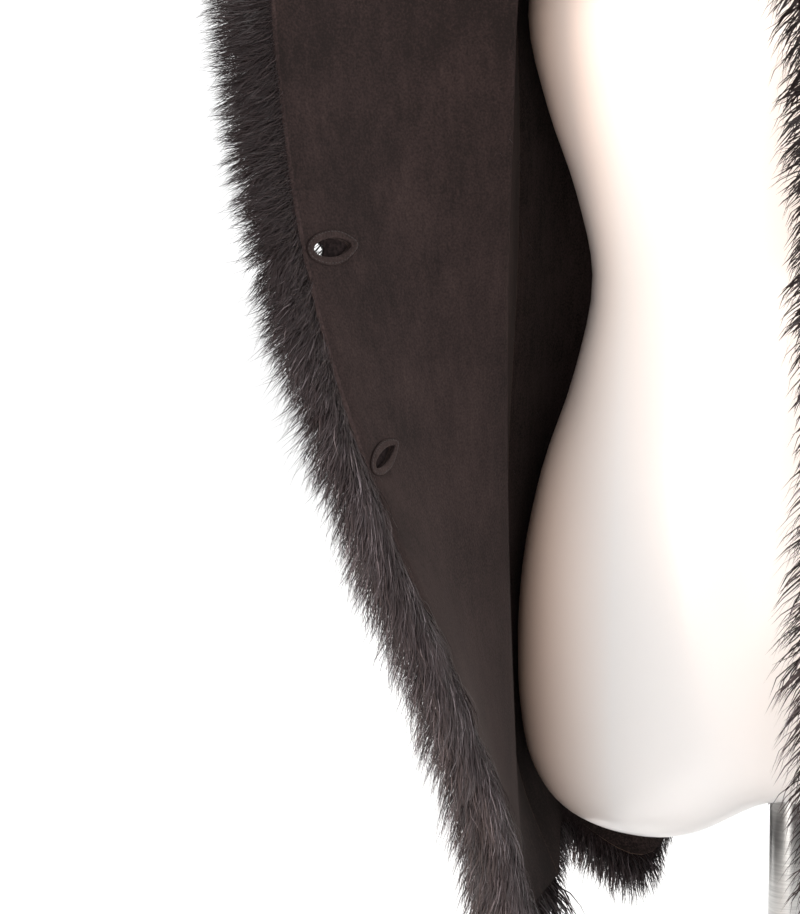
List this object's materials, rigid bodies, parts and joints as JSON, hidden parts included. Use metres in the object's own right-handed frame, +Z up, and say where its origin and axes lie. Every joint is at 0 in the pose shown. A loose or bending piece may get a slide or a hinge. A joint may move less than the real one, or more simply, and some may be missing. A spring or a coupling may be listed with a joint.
{
  "type": "fur coat on a limbless dress form",
  "caption": "Short fur coat worn open on a limbless dress form on a pole stand, one front turned back to show its suede facing and bound buttonholes.",
  "frame": {"origin": "centre of the stand base's underside, on the floor", "axes": "+Z up, the form faces -Y, the wearer's right is -X"},
  "size_m": [0.5846, 0.489, 1],
  "materials": {
    "fur": "long dark pile, slightly glossy hairs",
    "suede": "matt suede",
    "horn": "polished dark horn",
    "gloss_shell": "gloss cream white",
    "steel": "satin"
  },
  "bodies": {
    "root": {"back": "fur", "right_front": "fur", "left_front": "fur", "right_sleeve": "fur", "left_sleeve": "fur", "right_facing": "suede", "left_facing": "suede", "buttonhole_binding_1": "suede", "buttonhole_binding_2": "suede", "button_1": "horn", "button_2": "horn", "dress_form": "gloss_shell", "stand_pole": "steel", "stand_base": "steel"}
  },
  "joints": []
}
